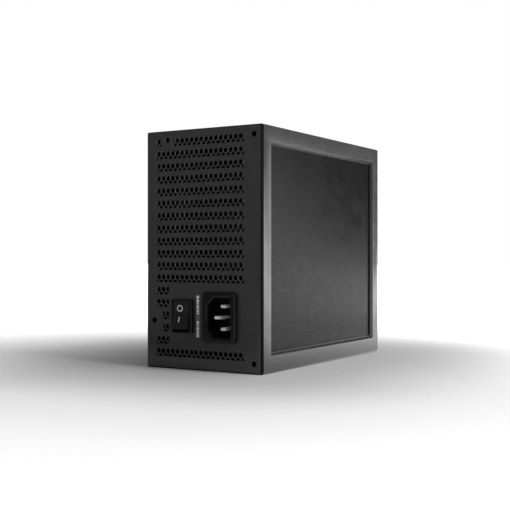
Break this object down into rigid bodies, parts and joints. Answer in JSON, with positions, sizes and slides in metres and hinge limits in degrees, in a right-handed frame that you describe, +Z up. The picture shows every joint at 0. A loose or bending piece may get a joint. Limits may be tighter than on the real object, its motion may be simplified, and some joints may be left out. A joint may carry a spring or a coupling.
{
  "type": "power supply unit",
  "caption": "Box-shaped ATX power supply unit with a vented rear wall, mains inlet, rocker switch, recessed fan mesh, inner fan and boards, and modular output sockets.",
  "frame": {"origin": "middle of the narrow side that it stands on", "axes": "+Z up along the rear wall's 150 mm side; -Y out of the rear wall with the inlet and switch; +X out of the fan side"},
  "size_m": [0.086, 0.176, 0.15],
  "materials": {
    "case_steel": "fine matt black powder coat",
    "mesh_steel": "fine matt black powder coat",
    "black_plastic": "moulded, satin",
    "rocker_plastic": "moulded, semi-gloss, white marks",
    "socket_plastic": "moulded, satin",
    "fan_plastic": "moulded, satin",
    "nickel": "bright plated",
    "screw_black": "black oxide",
    "board": "solder mask",
    "insulator": "plain",
    "copper": "enamelled winding",
    "ferrite": "sintered, matt",
    "sleeve": "shrink sleeve",
    "yellow_film": "moulded box",
    "aluminium": "extruded, black anodised",
    "magnet": "bonded ferrite, matt",
    "brass": "plain",
    "wire_brown": "insulation",
    "wire_blue": "insulation",
    "wire_green": "insulation",
    "wire_black": "insulation"
  },
  "bodies": {
    "case": {"chassis_tray": "case_steel", "chassis_cover": "case_steel", "fan_mesh": "mesh_steel", "inlet_housing": "black_plastic", "switch_housing": "black_plastic", "socket_main_18pin": "socket_plastic", "socket_main_10pin": "socket_plastic", "socket_12v_high_power": "socket_plastic", "socket_cpu_pcie_1": "socket_plastic", "socket_cpu_pcie_2": "socket_plastic", "socket_cpu_pcie_3": "socket_plastic", "socket_cpu_pcie_4": "socket_plastic", "socket_peripheral_1": "socket_plastic", "socket_peripheral_2": "socket_plastic", "socket_peripheral_3": "socket_plastic", "fan_frame": "fan_plastic", "inlet_pin_line": "nickel", "inlet_pin_neutral": "nickel", "inlet_pin_earth": "nickel", "cover_screw_1": "screw_black", "cover_screw_2": "screw_black", "cover_screw_3": "screw_black", "cover_screw_4": "screw_black", "fan_screw_1": "screw_black", "fan_screw_2": "screw_black", "fan_screw_3": "screw_black", "fan_screw_4": "screw_black", "main_board": "board", "modular_board": "board", "insulating_sheet": "insulator", "board_standoff_1": "insulator", "board_standoff_2": "insulator", "board_standoff_3": "insulator", "board_standoff_4": "insulator", "emi_choke": "copper", "pfc_choke": "copper", "fan_stator": "copper", "main_transformer": "ferrite", "standby_transformer": "ferrite", "bridge_rectifier": "ferrite", "bulk_capacitor": "sleeve", "output_capacitor_1": "sleeve", "output_capacitor_2": "sleeve", "output_capacitor_3": "sleeve", "x_capacitor": "yellow_film", "primary_heatsink": "aluminium", "secondary_heatsink": "aluminium", "fan_bearing": "brass", "switch_terminal_in": "brass", "switch_terminal_out": "brass", "line_wire_inlet_to_switch": "wire_brown", "line_wire_switch_to_board": "wire_brown", "neutral_wire": "wire_blue", "earth_wire": "wire_green", "fan_lead": "wire_black"},
    "rocker": {"switch_rocker": "rocker_plastic"},
    "rotor": {"fan_rotor": "fan_plastic", "fan_shaft": "nickel", "fan_magnet_ring": "magnet"}
  },
  "joints": [
    {"name": "switch_rock", "type": "hinge", "parent": "case", "child": "rocker", "pos_m": [-0.0144, -0.0839, 0.0332], "axis": [1, 0, 0], "range_deg": [0, 22]},
    {"name": "fan_spin", "type": "hinge", "parent": "case", "child": "rotor", "pos_m": [0.02, 0.003, 0.075], "axis": [1, 0, 0], "continuous": true}
  ]
}
